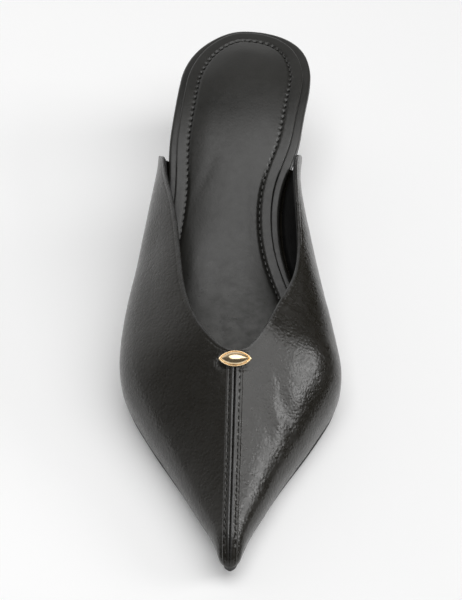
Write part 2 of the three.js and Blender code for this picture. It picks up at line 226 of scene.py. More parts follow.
def place(x, t, z):
    """Points in the shoe's frame, in mm, from a distance off the toe line, t and a height."""
    return np.stack(np.broadcast_arrays(x + TOE_OFFSET, LENGTH / 2 - t, z), -1)


def unit(vectors):
    """The vectors at length 1."""
    size = np.linalg.norm(vectors, axis=-1, keepdims=True)
    return vectors / np.maximum(size, 1e-9)


def run_length(points, axis=0):
    """Distance walked along an axis of a grid of points, from 0 at its first row."""
    step = np.linalg.norm(np.diff(points, axis=axis), axis=-1)
    start = np.zeros_like(np.take(step, [0], axis=axis))
    return np.cumsum(np.concatenate((start, step), axis=axis), axis=axis)


def seam_x(t):
    """How far the seam leans off the toe line: fully at the throat, and not at the tip."""
    return SEAM_LEAN * np.minimum(1, (LENGTH - t) / (LENGTH - THROAT_AT))


def foot_half(side, t):
    """Half width where the upper meets the sole: board, gap and wall, square to the edge."""
    taper = board_half[side](t + 0.5) - board_half[side](t - 0.5)
    wall = (WALL + GAP) * np.hypot(1, taper) + 0.1
    return (board_half[side](t) + wall) * round_end(LENGTH - t, TIP_ROUND)


def section_point(side, t, w):
    """One cubic curve from the sole up to the widest place, and a second one over the shoulder to
    the crest, where it arrives with the crest's own slope."""
    bottom = board_under(t)
    nose = round_end(LENGTH - t, NOSE_ROUND)
    foot = foot_half(side, t)
    wide = foot + flare[side](t) * round_end(LENGTH - t, TIP_ROUND)
    lift = rise[side](t) * nose
    low = np.clip(w / WIDEST, 0, 1)
    high = np.clip((w - WIDEST) / (1 - WIDEST), 0, 1)
    top = (crest(t) - bottom) * nose
    middle = side * seam_x(t)
    reach = 0.37 * np.hypot(top - lift, wide - middle)
    slope = crest_slope(t)
    upright = lift + full[side](t) * (top - lift)
    x_low = bezier(foot, mix(foot, wide, 0.75), wide, wide, low)
    z_low = bezier(0, 0.22 * lift, 0.62 * lift, lift, low)
    x_high = bezier(wide, wide, middle + reach * np.cos(slope), middle, high)
    z_high = bezier(lift, upright, top - reach * np.sin(slope), top, high)
    below = w < WIDEST
    out = np.where(below, x_low, x_high)
    return place(side * out, t, bottom + np.where(below, z_low, z_high))


def outward(side, t, w):
    """Unit normal: a small step up the section crossed with one along the shoe."""
    step = np.minimum(0.2, (LENGTH - t) / 4) + 1e-4
    climb = 0.01
    along = section_point(side, t + step, w) - section_point(side, t - step, w)
    high = section_point(side, t, np.minimum(w + climb, 1))
    low = section_point(side, t, np.maximum(w - climb, 0))
    return unit(side * np.cross(high - low, along))


# ---- Meshes
MERGE = 0.002          # mm, corners closer than this are one


def grid_faces(rows, columns, start):
    """Corner numbers of the quads of a grid whose corners are counted row by row."""
    corner = start + np.arange(rows * columns).reshape(rows, columns)
    ring = (corner[:-1, :-1], corner[:-1, 1:], corner[1:, 1:], corner[1:, :-1])
    return np.stack(ring, -1).reshape(-1, 4)


def add_object(name, data):
    """A new object in the scene, at the origin."""
    made = bpy.data.objects.new(name, data)
    bpy.context.scene.collection.objects.link(made)
    return made


def piece(name, sheets, material, replaces=(), sharp=180, edge=None):
    """A mesh object of closed bodies from grids of points in mm. Corners that coincide are joined,
    faces point out, and edge, one value for each corner, is kept as an attribute of that name."""
    corners, faces, start = [], [], 0
    for grid in sheets:
        corners.append(grid.reshape(-1, 3))
        faces.append(grid_faces(*grid.shape[:2], start))
        start += len(corners[-1])
    mesh = bpy.data.meshes.new(name)
    mesh.from_pydata((np.concatenate(corners) * MM).tolist(), [], np.concatenate(faces).tolist())
    if edge is not None:
        paler_mask = mesh.attributes.new("edge", "FLOAT", "POINT")
        paler_mask.data.foreach_set("value", edge.astype(np.float32))
    shell = bmesh.new()
    shell.from_mesh(mesh)
    bmesh.ops.remove_doubles(shell, verts=shell.verts, dist=MERGE * MM)
    bmesh.ops.recalc_face_normals(shell, faces=shell.faces)
    if shell.calc_volume(signed=True) < 0:
        bmesh.ops.reverse_faces(shell, faces=shell.faces)
    shell.to_mesh(mesh)
    shell.free()
    mesh.shade_smooth()
    mesh.set_sharp_from_angle(angle=np.radians(sharp))
    mesh.materials.append(material)
    made = add_object(name, mesh)
    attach(made, "root")
    if replaces:
        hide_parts(*replaces)
    return made


# ---- Finishes
def node(tree, kind, inputs=None, **settings):
    """A shader node with its settings; an input is a value or the socket that feeds it."""
    made = tree.nodes.new(kind)
    for key, value in settings.items():
        setattr(made, key, value)
    for key, value in (inputs or {}).items():
        if isinstance(value, bpy.types.NodeSocket):
            tree.links.new(value, made.inputs[key])
        else:
            made.inputs[key].default_value = value
    return made


def maths(tree, operation, *values, clamp=False):
    """Result of a sum, product or other operation on values or sockets."""
    settings = {"operation": operation, "use_clamp": clamp}
    return node(tree, "ShaderNodeMath", dict(enumerate(values)), **settings).outputs[0]


def spread(tree, value, low, high, to_low, to_high):
    """value from low..high laid out on to_low..to_high."""
    inputs = dict(zip(("Value", "From Min", "From Max", "To Min", "To Max"),
                      (value, low, high, to_low, to_high)))
    return node(tree, "ShaderNodeMapRange", inputs).outputs["Result"]


def stretched(tree, where, **how):
    """Coordinates turned or scaled, each axis by itself."""
    return node(tree, "ShaderNodeMapping", {"Vector": where, **how}).outputs[0]


def noise(tree, where, scale, detail=3.0, roughness=0.5):
    """Fractal noise, 0 to 1, scale to the metre."""
    inputs = {"Vector": where, "Scale": scale, "Detail": detail, "Roughness": roughness}
    return node(tree, "ShaderNodeTexNoise", inputs).outputs["Fac"]


def new_group(name, takes, gives):
    """An empty node group. takes: name, kind and value of each input. gives: output names."""
    group = bpy.data.node_groups.new(name, "ShaderNodeTree")
    for label, kind, value in takes:
        socket = group.interface.new_socket(label, in_out="INPUT", socket_type=kind)
        if value is not None:
            socket.default_value = value
    for label in gives:
        group.interface.new_socket(label, in_out="OUTPUT", socket_type="NodeSocketFloat")
    source = group.nodes.new("NodeGroupInput")
    sink = group.nodes.new("NodeGroupOutput")
    return group, source.outputs, sink.inputs


CLOUDS_PER_METRE = 45.0


def leather_grain_group():
    """Calf leather: flat pebbles between fine wrinkles, pores, and slow clouds of tone. Height is
    0 to 1, Tone and Cloud are masks. Per Metre sets how many pebbles there are to a metre."""
    takes = [("Vector", "NodeSocketVector", None), ("Per Metre", "NodeSocketFloat", 900.0)]
    group, source, sink = new_group("leather_grain", takes, ["Height", "Tone", "Cloud"])
    where = source["Vector"]
    per_metre = source["Per Metre"]
    cells = {"Vector": where, "Scale": per_metre, "Smoothness": 0.6}
    pebble = node(group, "ShaderNodeTexVoronoi", cells, feature="SMOOTH_F1").outputs["Distance"]
    wrinkle = noise(group, where, maths(group, "MULTIPLY", per_metre, 0.35), 4.0, 0.6)
    pore = noise(group, where, maths(group, "MULTIPLY", per_metre, 2.6), 2.0)
    flat = spread(group, pebble, 0.15, 0.75, 1.0, 0.0)
    height = maths(group, "MULTIPLY_ADD", flat, 0.45, maths(group, "MULTIPLY", wrinkle, 0.75))
    height = maths(group, "SUBTRACT", height, maths(group, "MULTIPLY", pore, 0.2))
    cloud = noise(group, where, CLOUDS_PER_METRE, 3.0, 0.55)
    group.links.new(height, sink["Height"])
    group.links.new(spread(group, wrinkle, 0.3, 0.7, 0.0, 1.0), sink["Tone"])
    group.links.new(spread(group, cloud, 0.3, 0.7, 0.0, 1.0), sink["Cloud"])
    return group


def wear_and_sheen_group():
    """Rubbed shiny edges and the sock's painted sheen: the piece's edge value broken up by noise.
    """
    takes = [("Vector", "NodeSocketVector", None), ("Edge", "NodeSocketFloat", 0.0)]
    group, source, sink = new_group("wear_and_sheen", takes, ["Mask"])
    patches = noise(group, source["Vector"], 260.0, 3.0, 0.6)
    broken = spread(group, patches, 0.32, 0.62, 0.35, 1.0)
    group.links.new(maths(group, "MULTIPLY", source["Edge"], broken, clamp=True), sink["Mask"])
    return group


LEATHER_GRAIN = leather_grain_group()
WEAR_AND_SHEEN = wear_and_sheen_group()


def new_material(name, colour):
    """A material with its Principled shader and the Object coordinates that its patterns read."""
    material = bpy.data.materials.new(name)
    material.use_nodes = True
    material.diffuse_color = (*colour, 1)
    tree = material.node_tree
    shader = tree.nodes["Principled BSDF"]
    shader.inputs["Base Color"].default_value = (*colour, 1)
    where = node(tree, "ShaderNodeTexCoord").outputs["Object"]
    return material, tree, shader, where


def blend_colours(tree, mask, dark, light):
    """Colour from dark to light by a mask; each is three numbers or a colour socket."""
    blended = node(tree, "ShaderNodeMix", data_type="RGBA")
    for slot, value in (("Factor_Float", mask), ("A_Color", dark), ("B_Color", light)):
        socket = next(s for s in blended.inputs if s.identifier == slot)
        if isinstance(value, bpy.types.NodeSocket):
            tree.links.new(value, socket)
        else:
            socket.default_value = (*value, 1)
    return next(s for s in blended.outputs if s.identifier == "Result_Color")


def feed(tree, shader, colour, roughness, height, deep):
    """Link what changes over a surface: its colour, its roughness and a relief deep mm high."""
    tree.links.new(colour, shader.inputs["Base Color"])
    tree.links.new(roughness, shader.inputs["Roughness"])
    bump = node(tree, "ShaderNodeBump", {"Height": height, "Distance": deep * MM})
    tree.links.new(bump.outputs["Normal"], shader.inputs["Normal"])


RUBBED_BLACK = (0.05, 0.05, 0.05)


def leather(name, dark, light, rough, grain_depth, per_metre, coat=0.0, wear_and_sheen_colour=RUBBED_BLACK):
    """Finished leather. rough: lowest and highest roughness. grain_depth in mm."""
    material, tree, shader, where = new_material(name, dark)
    grain = node(tree, "ShaderNodeGroup", node_tree=LEATHER_GRAIN)
    grain.inputs["Per Metre"].default_value = per_metre
    tree.links.new(where, grain.inputs["Vector"])
    edge = node(tree, "ShaderNodeAttribute", attribute_name="edge").outputs["Fac"]
    paler_mask = node(tree, "ShaderNodeGroup", node_tree=WEAR_AND_SHEEN)
    tree.links.new(where, paler_mask.inputs["Vector"])
    tree.links.new(edge, paler_mask.inputs["Edge"])
    body = blend_colours(tree, grain.outputs["Cloud"], dark, light)
    # The edge value pales the colour towards the last one given: rubbed wear on the folded edges
    # of the upper, painted sheen on the sock's forepart.
    tinted = blend_colours(tree, paler_mask.outputs["Mask"], body, wear_and_sheen_colour)
    dull = spread(tree, grain.outputs["Tone"], 0.0, 1.0, *rough)
    dull = maths(tree, "ADD", dull, spread(tree, grain.outputs["Cloud"], 0.0, 1.0, -0.03, 0.03))
    dull = maths(tree, "SUBTRACT", dull, maths(tree, "MULTIPLY", paler_mask.outputs["Mask"], 0.06))
    feed(tree, shader, tinted, dull, grain.outputs["Height"], grain_depth)
    shader.inputs["Coat Weight"].default_value = coat
    shader.inputs["Coat Roughness"].default_value = 0.18
    return material


def sole_finish():
    """Moulded sole: matt, with fine scuffs running along the shoe."""
    material, tree, shader, where = new_material("sole_black", (0.012, 0.012, 0.012))
    scuff = noise(tree, stretched(tree, where, Scale=(900.0, 90.0, 900.0)), 1.0, 3.0)
    speckle = noise(tree, where, 1800.0, 2.0)
    mask = spread(tree, scuff, 0.45, 0.75, 0.0, 1.0)
    colour = blend_colours(tree, mask, (0.010, 0.010, 0.010), (0.026, 0.025, 0.024))
    feed(tree, shader, colour, spread(tree, scuff, 0.3, 0.7, 0.42, 0.6), speckle, 0.03)
    return material


def thread_finish():
    """Waxed black thread with the slanting lines of its twist."""
    material, tree, shader, where = new_material("thread_black", (0.010, 0.010, 0.010))
    turned = stretched(tree, where, Rotation=(0.3, 0.2, 0.7))
    wave = {"Vector": turned, "Scale": 900.0, "Distortion": 0.5}
    twist = node(tree, "ShaderNodeTexWave", wave).outputs["Fac"]
    colour = blend_colours(tree, twist, (0.003, 0.003, 0.003), (0.009, 0.009, 0.008))
    feed(tree, shader, colour, spread(tree, twist, 0.0, 1.0, 0.65, 0.8), twist, 0.05)
    shader.inputs["Specular IOR Level"].default_value = 0.2
    return material


def gold_finish():
    """Pale gold plate, polished, with hairline marks that only dull it a little."""
    material, tree, shader, where = new_material("pale_gold", (0.83, 0.64, 0.40))
    shader.inputs["Metallic"].default_value = 1.0
    marks = noise(tree, stretched(tree, where, Scale=(300.0, 4000.0, 4000.0)), 1.0, 2.0)
    mask = spread(tree, noise(tree, where, 700.0, 2.0), 0.3, 0.7, 0.0, 1.0)
    colour = blend_colours(tree, mask, (0.80, 0.60, 0.36), (0.87, 0.70, 0.46))
    feed(tree, shader, colour, spread(tree, marks, 0.35, 0.75, 0.17, 0.24), marks, 0.0006)
    return material


UPPER_LEATHER = leather("upper_leather", (0.0112, 0.0098, 0.0070), (0.0150, 0.0134, 0.0102),
                        (0.23, 0.33), 0.12, 900.0, coat=0.06)
# Sock leather: its pale last colour is painted sheen, which the sock pad lays on its forepart.
SOCK_LEATHER = leather("sock_leather", (0.0130, 0.0126, 0.0108), (0.0180, 0.0174, 0.0150),
                       (0.29, 0.38), 0.03, 1100.0, wear_and_sheen_colour=(0.13, 0.13, 0.125))
LINING_LEATHER = leather("lining_leather", (0.005, 0.005, 0.005), (0.007, 0.007, 0.007),
                         (0.5, 0.62), 0.03, 1300.0)
SOLE_BLACK = sole_finish()
THREAD_BLACK = thread_finish()
PALE_GOLD = gold_finish()

# ---- Upper: two quarters that meet in the seam over the toe, and their lining
PANEL = 1.1            # leather of a quarter, mm
ROLL = 0.55            # radius of its folded edge
SEAM_GAP = 0.22        # from the middle of the seam to each folded edge
SEAM_RISE = 0.56       # the turned-in edges lift the leather beside the seam
SEAM_BAND = 3.1        # as far as this from the seam
STITCH_OFF = 2.15      # stitch rows, from the seam
SEAM_PITCH = 2.45      # from stitch to stitch
SEAM_START = 182.0     # t of the first stitch
BEAD_LONG = 12.6
BEAD_WIDE = 6.4
BEAD_BEHIND = 3.6      # from the throat to the bead's middle
BEAD_DIMPLE = 0.3      # how far the leather is pulled in around the bead
NEAR_COLUMNS = 4.4     # mm below an edge that get close columns
MARGIN = 6.0           # how far the quarters are turned in under the insole
TURN = 0.26            # and how far below it
PRESS_AT = 1.9         # shallow pressed line along the open top edge
PRESS_DEEP = 0.08
RUB_AT = 0.35          # middle and width of the rubbed strip on the edges
RUB_WIDE = 0.45
QUARTER_ROWS = (130, 230)
QUARTER_COLUMNS = 88
LINING_ROWS = (90, 40)
LINING_COLUMNS = 30

# Unevenness of the lasted leather: height, shortest and longest wave, how many waves, and how far
# from an edge it comes in.
SWELLS = table("high seed short long count fade", """
    0.140  7 16.0 34  9 10
    0.045 11  5.0 12 16  4
    0.016 12  2.2  5 24  4
""")

# Soft troughs (depth over 0) and ridges in the leather, all seen in plan: x off the toe line, t,
# length, width, depth and their turn from the shoe's length.
CREASES = table("x t long wide depth turn", """
    -31 112 24 4.5  0.30   -6
    -33 138 26 5.0  0.28    4
    -26 166 22 6.0  0.22   16
    -15 190 20 5.0  0.16   10
     34 112 20 4.0  0.25    4
     33 140 22 5.5  0.26  -10
     15 170  9 2.6 -0.30   -6
     14 186  6 2.4 -0.34   18
      9 178  7 2.4  0.20   10
     19 193 10 3.0  0.26   24
     12 203  9 2.6  0.20   20
     16 198  9 2.2 -0.20   28
     26 176 14 4.5  0.24   20
""")


def edge_drop(distance):
    """How far a folded edge has turned in, by the distance from its outermost line: a quarter
    circle."""
    inside = np.clip(ROLL - distance, 0, ROLL)
    return ROLL - np.sqrt(np.maximum(ROLL**2 - inside**2, 0))


def upper_stations(side, open_rows, closed_rows):
    """t of the rows: a few close to the back edge, then closer and closer towards the throat, and
    from there on closer towards the tip."""
    back = WING_AT[side]
    back_edge = back + np.array([0, 0.04, 0.15, 0.32, 0.55, 0.85, 1.3])
    a = np.linspace(0, 1, open_rows + 1)[1:]
    opened = THROAT_AT - (THROAT_AT - back) * (1 - a) ** 2
    b = np.linspace(0, 1, closed_rows + 1)[1:]
    closed = mix(THROAT_AT, LENGTH, np.sin(np.pi / 2 * b))
    return np.concatenate((back_edge, opened, closed))


def upper_row(side, t, v):
    """Place (t, w) of a share v of a row, 0 at the sole and 1 at its top edge. Rows near the back
    edge lean forward, and their ends drop and curl into the wing's round corner."""
    from_back = t - WING_AT[side]
    lean = WING_LEAN * (1 - np.clip(from_back / LEAN_FADE, 0, 1)) ** 2
    corner = 1 - np.clip(from_back / CORNER, 0, 1)
    cut = throat_cut[side](t + lean) * round_end(THROAT_AT - t - lean, THROAT_ROUND)
    top = (1 - cut) * (1 - CORNER_DROP * corner**2)
    return t + lean * mix(v, v**6, CORNER_CURL), v * top


def upper_net(side, stations, columns, held_back):
    """Places of a net over one side: rows at the stations, and columns counted from the top edge
    down, close together for NEAR_COLUMNS. held_back is how far the net stays off the top edge.
    Gives t, w, the distance below the edge, and how full each row is near the tip."""
    fine = np.linspace(1, 0, 241)
    t = stations[:, None]
    down = run_length(section_point(side, *upper_row(side, t, fine[None, :])), axis=1)
    whole = down[:, -1:]
    size = np.minimum(1, whole / TIP_SIZE)
    close = min(22, columns // 2)
    near = NEAR_COLUMNS * np.linspace(0, 1, close) ** 1.35
    far = np.linspace(0, 1, columns - close + 1)[1:]
    start = held_back[:, None] * size
    near_end = start + NEAR_COLUMNS * size
    want = np.concatenate((start + near * size, near_end + (whole - near_end) * far), axis=1)
    v = np.stack([np.interp(row, walk, fine) for row, walk in zip(want, down)])
    t_net, w = upper_row(side, t, v)
    return t_net, w, want - start, size


def hollow_field(creases, x, t):
    """Sum of soft troughs seen in plan: each a Gaussian, longer than it is wide, turned from the
    shoe's length."""
    depth = np.zeros_like(t)
    for mid_x, mid_t, length, width, deep, turn in zip(*creases.values()):
        angle = np.radians(turn)
        ahead = t - mid_t
        aside = x - mid_x
        along = ahead * np.cos(angle) + aside * np.sin(angle)
        across = aside * np.cos(angle) - ahead * np.sin(angle)
        depth += deep * np.exp(-((along / length) ** 2) - (across / width) ** 2)
    return depth


def slow_waves(points, seed, short, long, count):
    """Mean of plane waves with seeded directions, lengths and phases."""
    draw = np.random.default_rng(int(seed))
    direction = unit(draw.normal(size=(int(count), 3)))
    length = draw.uniform(short, long, int(count))
    phase = draw.uniform(0, 2 * np.pi, int(count))
    return np.sin(points @ (direction * (2 * np.pi / length)[:, None]).T + phase).mean(-1)


def seam_relief(distance, t):
    """Height beside the seam: a lifted band whose leather rises between the stitches and is pulled
    in under each of them, once every SEAM_PITCH."""
    band = 1 - ease(distance, SEAM_BAND - 0.5, SEAM_BAND + 0.35)
    phase = 0.5 + 0.5 * np.cos(2 * np.pi * (t - SEAM_START) / SEAM_PITCH)
    pull = (0.25 + 0.65 * phase) * bell(distance, STITCH_OFF, 0.40)
    return SEAM_RISE * band * (1 - pull)


def bead_seat(x, t):
    """1 on the outline of the bead, where the leather is pulled in, and 0 away from it."""
    across = (x - SEAM_LEAN) / (BEAD_LONG / 2 + 0.2)
    along = (t - THROAT_AT - BEAD_BEHIND) / (BEAD_WIDE / 2 + 0.2)
    return bell(np.hypot(across, along), 1, 0.13)


def quarter_net(side):
    """The last's surface under a quarter, its normals, the height of the leather over it, the
    distance from the nearest edge, and how full each row is near the tip."""
    stations = upper_stations(side, *QUARTER_ROWS)
    inset = SEAM_GAP * ease(stations, THROAT_AT, THROAT_AT + 2)
    t, w, below, size = upper_net(side, stations, QUARTER_COLUMNS, inset)
    base = section_point(side, t, w)
    normal = outward(side, t, w)
    normal[-1] = (0, -1, 0)
    from_back = run_length(base, axis=0)
    edge = np.minimum(below, from_back)
    row_t = np.broadcast_to(stations[:, None], t.shape)
    closed = ease(row_t, THROAT_AT + 0.5, THROAT_AT + 4)
    x = base[..., 0] - TOE_OFFSET
    relief = closed * seam_relief(below + inset[:, None], row_t)
    relief -= (1 - closed) * PRESS_DEEP * bell(below, PRESS_AT, 0.4)
    relief -= hollow_field(CREASES, x, t) + BEAD_DIMPLE * bead_seat(x, t)
    for high, *wave, fade in zip(*SWELLS.values()):
        relief += high * slow_waves(base, *wave) * ease(below + from_back, 0, fade)
    return base, normal, relief * size, edge, size


def quarter(side):
    """Shell of one quarter: the outside, a rolled edge along the top line, the seam and the back,
    the margin turned in under the insole, the flesh side, and a strip that closes the back."""
    base, normal, relief, edge, size = quarter_net(side)
    drop = edge_drop(edge / np.maximum(size, 1e-6)) * size
    outer = base + normal * (relief - drop)[..., None]
    inner = base - normal * (PANEL * size - drop)[..., None]
    level = unit(normal[:, -1] * (1, 1, 0))
    foot = base[:, -1]
    room = np.abs(foot[:, 0] - TOE_OFFSET) * 0.6
    fade = ease(edge[:, -1], 0, ROLL)

    def margin(inward, low):
        return foot - level * np.minimum(inward, room)[:, None] - np.outer(low * fade, (0, 0, 1))

    turned = [margin(0.12, 0.14), margin(0.4, TURN), margin(MARGIN, TURN)]
    turned += [margin(MARGIN, 0.05), margin(PANEL, 0.05)]
    loop = np.concatenate((outer, np.stack(turned, 1), inner[:, ::-1], outer[:, :1]), axis=1)
    columns = outer.shape[1]
    over = loop[0, :columns + 3]
    under = loop[0, columns + 3:-1][::-1]
    back = np.stack((over, np.insert(under, columns, under[columns], axis=0)))
    paler_mask = bell(edge, RUB_AT, RUB_WIDE) * size
    mask = np.concatenate((paler_mask, np.zeros((len(paler_mask), columns + 5)), paler_mask[:, :1]), axis=1)
    back_mask = np.concatenate((mask[0, :columns + 3], np.zeros(columns + 3)))
    mask = np.concatenate((mask.ravel(), back_mask))
    name = "quarter_lateral" if side == LATERAL else "quarter_medial"
    piece(name, [loop, back], UPPER_LEATHER, replaces=["upper"], edge=mask)
    return outer, normal


def lining():
    """Lining of both quarters in one shell, a little short of the top line, closed over the seam,
    where each side leans its normals on the mean of the two."""
    outside, inside = {}, {}
    for side in (LATERAL, MEDIAL):
        stations = upper_stations(side, *LINING_ROWS)
        held = 0.8 * ease(THROAT_AT - stations, 0, 3)
        t, w, _, size = upper_net(side, stations, LINING_COLUMNS, held)
        base = section_point(side, t, w)
        normal = outward(side, t, w)
        joined = stations >= THROAT_AT
        other = outward(-side, t[joined, :1], w[joined, :1])
        normal[joined, :1] = unit(normal[joined, :1] + other)
        normal[-1] = (0, -1, 0)
        outside[side] = base - normal * ((PANEL + 0.06) * size)[..., None]
        inside[side] = base - normal * (WALL * size)[..., None]
        for wall in (outside[side], inside[side]):
            wall[:, -1, 2] = np.maximum(wall[:, -1, 2], board_under(LENGTH / 2 - wall[:, -1, 1]))
    sheets = []
    for walls in (outside, inside):
        seam = (walls[LATERAL][joined, 0] + walls[MEDIAL][joined, 0]) / 2
        walls[LATERAL][joined, 0] = walls[MEDIAL][joined, 0] = seam
        sheets += [walls[LATERAL][:, ::-1], walls[MEDIAL]]
    opened = stations <= THROAT_AT       # the same rows on both sides
    for side in (LATERAL, MEDIAL):
        pair = np.stack((outside[side], inside[side]), 2)
        sheets += [pair[opened, 0], pair[:, -1], pair[0]]
    piece("upper_lining", sheets, LINING_LEATHER)


# ---- Stitches
THREAD = 0.62          # its thickness
THREAD_DIP = 0.45      # how far a stitch's ends go down into the leather, in thicknesses


def stitches(name, runs, long, lift):
    """Rows of stitches in one mesh. Each run is points and normals along a line, their positions,
    and the positions of the stitches. A stitch is a small ellipsoid-ended bar that lies along the
    line, half sunk in it."""
    around = np.linspace(0, 2 * np.pi, 9)[:, None]
    along = np.linspace(-np.pi / 2, np.pi / 2, 7)[:, None, None]
    sheets = []
    for points, normals, walk, stops in runs:

        def read(values, where):
            return np.stack([np.interp(where, walk, values[:, k]) for k in range(3)], -1)

        up = unit(read(normals, stops))
        forward = unit(read(points, stops + 0.3) - read(points, stops - 0.3))
        aside = unit(np.cross(forward, up))
        up = np.cross(aside, forward)
        at = read(points, stops) + lift * up
        at, forward, aside, up = (v[:, None, None, :] for v in (at, forward, aside, up))
        ring = np.cos(around) * aside + np.sin(around) * up
        bars = at + long / 2 * np.sin(along) * forward + THREAD / 2 * np.cos(along) ** 0.5 * ring
        sheets.extend(bars - THREAD_DIP * THREAD * np.abs(np.sin(along)) ** 3 * up)
    piece(name, sheets, THREAD_BLACK)


def seam_stitches(outer, normal):
    """Both rows of stitches beside the seam, on the lifted band."""
    stops = np.arange(SEAM_START, LENGTH - 6, SEAM_PITCH)
    runs = []
    for side in (LATERAL, MEDIAL):
        stations = upper_stations(side, *QUARTER_ROWS)
        first = np.searchsorted(stations, THROAT_AT + 2.5)
        walk = run_length(outer[side], axis=1)
        column = np.argmin(np.abs(walk[first] - (STITCH_OFF - SEAM_GAP)))
        runs.append((outer[side][:, column], normal[side][:, column], stations, stops))
    stitches("seam_stitches", runs, 1.45, 0.0)


# ---- Insole, sock and outsole: plates that follow the last
class Outline:
    """Once round a plate: medial stations from back to front and lateral ones back again, then a
    straight back end if it has one. Rings are drawn inside it at any distance from its edge."""

    def __init__(self, half, back, front, stations, spine_inset, straight=0):
        share = (1 - np.cos(np.pi * np.arange(stations + 1) / stations)) / 2
        t = mix(back, front, share)
        lateral_t = t[-2::-1] if straight else t[-2:0:-1]
        x = np.concatenate((half(MEDIAL, t), -half(LATERAL, lateral_t)))
        t = np.concatenate((t, lateral_t))
        if straight:
            across = np.linspace(0, 1, straight + 2)[1:-1]
            x = np.concatenate((x, mix(x[-1], x[0], across)))
            t = np.concatenate((t, np.full(straight, back)))
        self.x, self.t = x, t
        self.back = back if straight else -np.inf
        way = unit(np.stack([np.roll(v, -1) - np.roll(v, 1) for v in (x, t)], -1))
        self.inward = np.stack((-way[:, 1], way[:, 0]), -1)
        if straight:                     # a corner is drawn in with the side beside it
            last = len(x) - straight - 1
            self.inward[[0, last]] = self.inward[[1, last - 1]]
        reach = (half(MEDIAL, t) + half(LATERAL, t)) / 2
        self.room = np.where(t > LENGTH / 2, np.minimum(1, reach / TIP_SIZE), 1)
        self.spine_t = np.clip(t, back + spine_inset, front - 4)
        self.spine_x = (half(MEDIAL, self.spine_t) - half(LATERAL, self.spine_t)) / 2

    def ring(self, inset, to_spine=0.0):
        """Points (x, t) at an inset from the edge, or on the way from there to the spine. None
        passes the toe line, so that a tight round end doesn't fold over."""
        side = np.sign(self.x)
        x = side * np.maximum(side * (self.x + self.inward[:, 0] * inset * self.room), 0)
        t = np.maximum(self.t + self.inward[:, 1] * inset * self.room, self.back + inset)
        return mix(x, self.spine_x, to_spine), mix(t, self.spine_t, to_spine)


def plate(outline, rings):
    """Closed loop of rings. Each ring: inset, share of the way on to the spine, and its height as
    a function of x and t."""
    rows = []
    for inset, to_spine, height in rings:
        x, t = outline.ring(inset, to_spine)
        row = place(x, t, height(x, t))
        rows.append(np.concatenate((row, row[:1])))
    return np.stack(rows)


def rounded_side(low, high, radius, steps=5, undercut=0.0):
    """Rings round the edge of a plate: a quarter circle from the underside to the side and another
    from the side to the top. undercut is how much further in the lower one stands."""
    rings = []
    for a in np.linspace(0, np.pi / 2, steps):
        lift = radius * (1 - np.cos(a))
        inset = undercut + radius * (1 - np.sin(a))
        rings.append((inset, 0, lambda x, t, lift=lift: low(t) + lift))
    for a in np.linspace(np.pi / 2, 0, steps):
        lift = radius * (1 - np.cos(a))
        rings.append((radius * (1 - np.sin(a)), 0, lambda x, t, lift=lift: high(t) - lift))
    return rings


def seat_half(side, t, inset):
    """Half width inside the board's edge, with the round back of the heel seat."""
    return (board_half[side](t) - inset) * round_end(t - inset, SEAT_ROUND)


def insole():
    """Insole board in its leather wrap, with soft edges."""
    outline = Outline(
        lambda side, t: seat_half(side, t, 0) * round_end(BOARD_END_AT - t, TOE_ROUND),
        0, BOARD_END_AT, 190, 26)
    under = lambda x, t: board_under(t)
    top = lambda t: board_under(t) + BOARD
    inner = lambda x, t: top(t) - 0.02
    rings = [(3, 1, under), (6, 0, under)] + rounded_side(board_under, top, 1.15, 6)
    rings += [(2.0, 0, lambda x, t: top(t)), (6, 0, inner), (6, 1, inner)]
    piece("insole_wrap", [plate(outline, rings)], SOCK_LEATHER, replaces=["insole"])


STITCH_INSET = 4.9     # stitch line of the sock, from its edge
STITCH_PITCH = 2.6
VALLEY = 0.34          # how far the stitch line is pulled down
PULL = 0.36            # and how much more under each stitch
SOCK_LIFT = 0.06       # of the sock's underside, off the insole
SOCK_EDGE = 0.65       # radius of its edge
SWELL_OVER = 16.0      # the padding grows over this width inside the stitch line
PAINTED_SHEEN = 0.75          # painted sheen: how much paler the forepart is made, for its reflection

# Wrinkles of the sock: middle in x and t, length, width, depth and turn from the shoe's length.
SOCK_WRINKLES = table("x t long wide depth turn", """
     14  62  11 1.6  0.30   28
      9  70  13 2.0  0.22   18
     13  84  10 1.5  0.22    8
      6  96  16 2.2  0.20    6
      9 104   9 1.5  0.20  -12
    -14  74  12 2.2  0.22  -24
     -9 118  14 3.0  0.16  -10
      4 140   9 3.0  0.16   80
""")


def sock_height(inset, around):
    """Height of the sock over the insole, at an inset from its edge: a rounded edge, a flat
    border, the stitch line, pulled in once every STITCH_PITCH of the way around, and the padding
    that swells inside it."""

    def height(x, t):
        lay = board_under(t) + BOARD + SOCK_LIFT
        edge = SOCK + GAP - SOCK_EDGE
        edge += np.sqrt(max(SOCK_EDGE**2 - max(SOCK_EDGE - inset, 0) ** 2, 0))
        swell = 1 - (1 - np.clip((inset - STITCH_INSET) / SWELL_OVER, 0, 1)) ** 2
        ends = round_end(t - RAND, SEAT_ROUND / 2) * round_end(SOCK_END_AT - t, SEAT_ROUND)
        pull = PULL * (0.5 + 0.5 * np.cos(2 * np.pi * around / STITCH_PITCH))
        dip = (VALLEY + pull) * bell(inset, STITCH_INSET, 0.7)
        wrinkles = swell * hollow_field(SOCK_WRINKLES, x, t)
        uneven = 0.10 * swell * slow_waves(place(x, t, 0 * t), 21, 14, 30, 9)
        return lay + edge + PAD * swell * ends - dip - wrinkles + uneven

    return height


